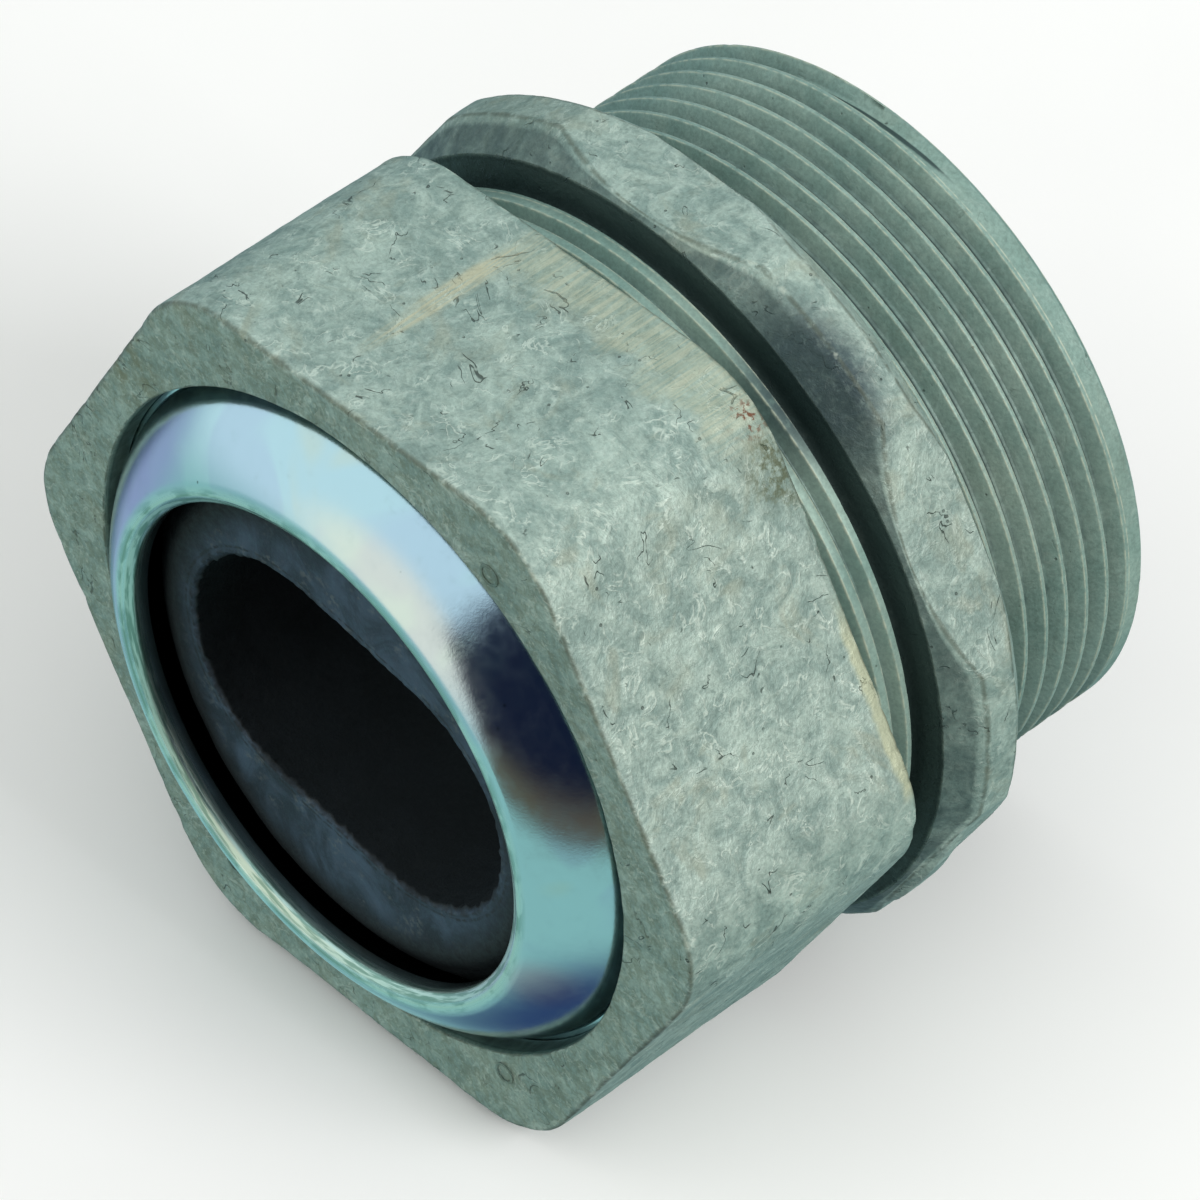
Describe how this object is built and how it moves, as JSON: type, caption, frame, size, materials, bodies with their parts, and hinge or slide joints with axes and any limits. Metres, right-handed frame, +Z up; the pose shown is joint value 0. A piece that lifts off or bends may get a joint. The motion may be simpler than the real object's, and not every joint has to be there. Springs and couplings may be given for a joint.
{
  "type": "cable connector",
  "caption": "Straight compression connector for flat service cable, with a hexagon gland nut and a threaded hub.",
  "frame": {"origin": "centre of the bore, on the plane of the flange's shoulder that seats against an enclosure", "axes": "+Y along the bore towards the threaded hub, the cable enters from -Y; +Z up through a flat of both hexagons"},
  "size_m": [0.0732, 0.0594, 0.0678],
  "materials": {
    "die_cast_zinc": "as-cast zinc alloy, dull grey with flow marks",
    "plated_steel": "bright zinc-plated steel",
    "black_rubber": "matt, dusty"
  },
  "bodies": {
    "casting": {"connector_body": "die_cast_zinc", "cable_grommet": "black_rubber"},
    "pusher": {"slip_ring": "plated_steel"},
    "nut": {"gland_nut": "die_cast_zinc"}
  },
  "joints": [
    {"name": "ring_slide", "type": "slide", "parent": "casting", "child": "pusher", "axis": [0, 1, 0], "range_m": [0, 0.0045], "deforming": ["cable_grommet"]},
    {"name": "nut_turn", "type": "hinge", "parent": "pusher", "child": "nut", "pos_m": [0, -0.025, 0], "axis": [0, 1, 0], "range_deg": [0, 720]}
  ],
  "couplings": [
    {"joint": "ring_slide", "follows": "nut_turn", "m_per_rad": 0.00035153}
  ]
}
